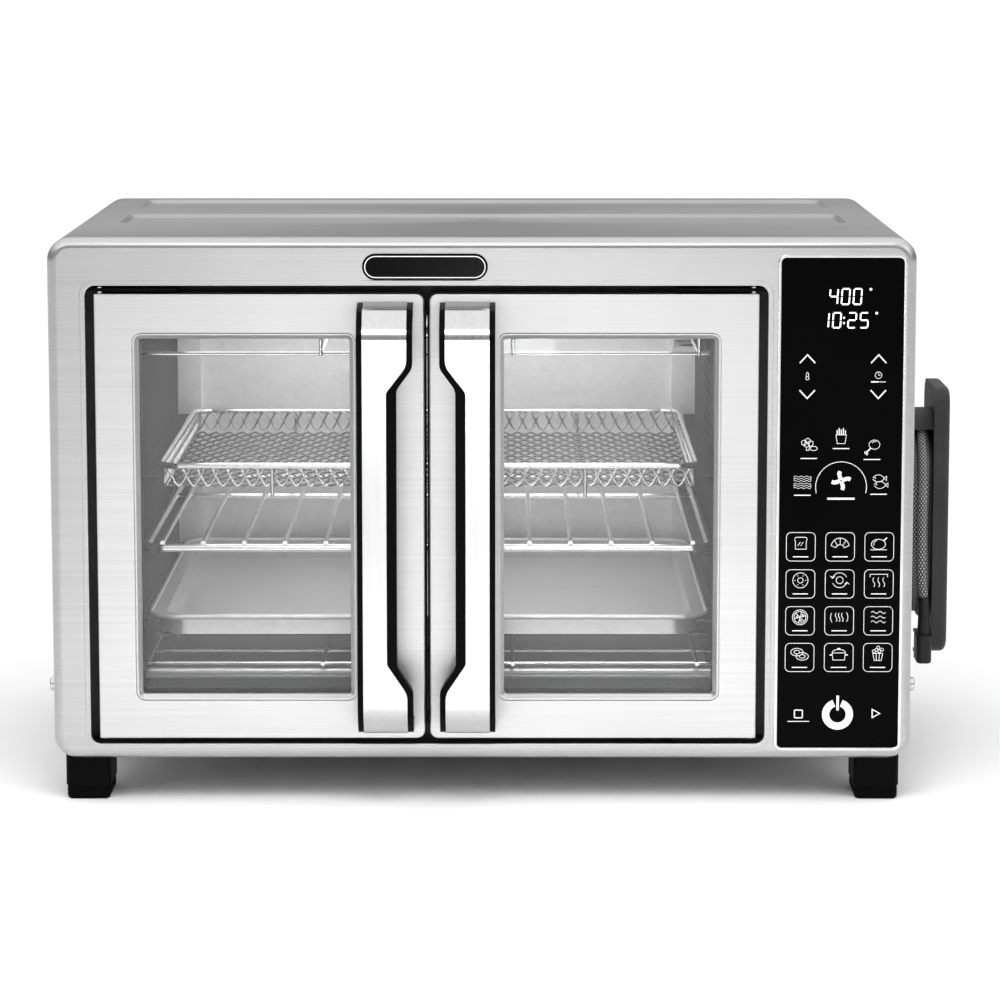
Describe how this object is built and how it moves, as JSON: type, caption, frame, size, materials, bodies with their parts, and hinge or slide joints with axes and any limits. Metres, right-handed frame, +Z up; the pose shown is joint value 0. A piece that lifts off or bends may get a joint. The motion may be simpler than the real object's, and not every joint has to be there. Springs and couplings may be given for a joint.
{
  "type": "toaster oven",
  "caption": "Counter-top toaster oven with coupled side-hinged glass doors, strap handles, touch panel, wire rack, mesh basket, baking pan and a side cord winder.",
  "frame": {"origin": "middle of the footprint on the table, handles and cord winder included, the cord left out", "axes": "+X to the right seen from the front, +Y to the back, +Z up; the doors face -Y"},
  "size_m": [0.5598, 0.4573, 0.3445],
  "materials": {
    "brushed_steel": "horizontally brushed stainless steel, satin",
    "case_steel": "brushed stainless sheet, satin",
    "handle_steel": "polished brushed stainless strap",
    "galvanised_sheet": "galvanised steel sheet, dull",
    "chamber_sheet": "aluminised steel sheet, mottled satin",
    "black_sheet": "black enamelled steel",
    "chrome_wire": "chrome plated wire",
    "pan_metal": "aluminised steel pan, satin",
    "heater_sheath": "stainless sheathed heating rod",
    "ceramic": "white steatite ceramic",
    "door_glass": "clear tempered glass",
    "panel_glass": "black back-printed glass, glossy",
    "bezel_metal": "bright bevelled trim",
    "handle_plastic": "black heat-proof plastic",
    "black_plastic": "black moulded plastic",
    "foot_rubber": "black rubber",
    "screw_steel": "bright zinc-plated steel",
    "motor_metal": "zinc-plated motor can",
    "circuit_board": "green circuit board",
    "badge_gloss": "black gloss plate with a bright edge",
    "cord_braid": "grey and white braided cord jacket",
    "plug_plastic": "black moulded plug",
    "magnet": "black coated magnet"
  },
  "bodies": {
    "oven_body": {"badge": "badge_gloss", "bottom_plate": "galvanised_sheet", "chamber_back": "chamber_sheet", "chamber_floor": "chamber_sheet", "chamber_left_wall": "chamber_sheet", "chamber_right_wall": "chamber_sheet", "chamber_roof": "chamber_sheet", "control_board": "circuit_board", "control_panel_bezel": "bezel_metal", "control_panel_glass": "panel_glass", "cord_gland": "black_plastic", "cord_wrap": "black_plastic", "door_catches": "magnet", "door_seat_frame": "galvanised_sheet", "fan_housing": "galvanised_sheet", "fan_motor": "motor_metal", "foot_front_left": "black_plastic", "foot_front_right": "black_plastic", "foot_pads": "foot_rubber", "foot_rear_left": "black_plastic", "foot_rear_right": "black_plastic", "front_frame": "brushed_steel", "heater_bushes": "ceramic", "hinge_brackets": "black_sheet", "housing_screws": "screw_steel", "lower_front_heater": "heater_sheath", "lower_guard": "chrome_wire", "lower_rear_heater": "heater_sheath", "power_board": "circuit_board", "power_cord_coil": "cord_braid", "power_cord_lead": "cord_braid", "power_plug": "plug_plastic", "rear_cover": "galvanised_sheet", "temperature_sensor": "chrome_wire", "thermal_cutoff": "ceramic", "upper_front_heater": "heater_sheath", "upper_guard": "chrome_wire", "upper_rear_heater": "heater_sheath", "wrapper_shell": "case_steel"},
    "left_door": {"left_door_panel": "brushed_steel", "left_door_glass": "door_glass", "left_door_inner_frame": "black_sheet", "left_handle_core": "handle_plastic", "left_handle_cover": "handle_steel", "left_hinge_pins": "screw_steel"},
    "right_door": {"right_door_panel": "brushed_steel", "right_door_glass": "door_glass", "right_door_inner_frame": "black_sheet", "right_handle_core": "handle_plastic", "right_handle_cover": "handle_steel", "right_hinge_pins": "screw_steel"},
    "wire_rack_body": {"wire_rack": "chrome_wire"},
    "air_fry_basket": {"basket_frame": "chrome_wire", "basket_mesh": "chrome_wire"},
    "pan_body": {"baking_pan": "pan_metal"},
    "crumb_tray_body": {"crumb_tray": "pan_metal"},
    "fan_rotor": {"convection_fan": "pan_metal"}
  },
  "joints": [
    {"name": "left_door_hinge", "type": "hinge", "parent": "oven_body", "child": "left_door", "pos_m": [-0.24455, -0.1665, 0], "axis": [0, 0, -1], "range_deg": [0, 100]},
    {"name": "right_door_hinge", "type": "hinge", "parent": "oven_body", "child": "right_door", "pos_m": [0.14705, -0.1665, 0], "axis": [0, 0, 1], "range_deg": [0, 100]},
    {"name": "wire_rack_slide", "type": "slide", "parent": "oven_body", "child": "wire_rack_body", "axis": [0, -1, 0], "range_m": [0, 0.013]},
    {"name": "air_fry_basket_slide", "type": "slide", "parent": "oven_body", "child": "air_fry_basket", "axis": [0, -1, 0], "range_m": [0, 0.045]},
    {"name": "baking_pan_slide", "type": "slide", "parent": "oven_body", "child": "pan_body", "axis": [0, -1, 0], "range_m": [0, 0.018]},
    {"name": "crumb_tray_slide", "type": "slide", "parent": "oven_body", "child": "crumb_tray_body", "axis": [0, -1, 0], "range_m": [0, 0.008]},
    {"name": "fan_spin", "type": "hinge", "parent": "oven_body", "child": "fan_rotor", "pos_m": [0.14725, 0.0175, 0.225], "axis": [1, 0, 0], "continuous": true}
  ],
  "couplings": [
    {"joint": "right_door_hinge", "follows": "left_door_hinge", "ratio": 1}
  ]
}
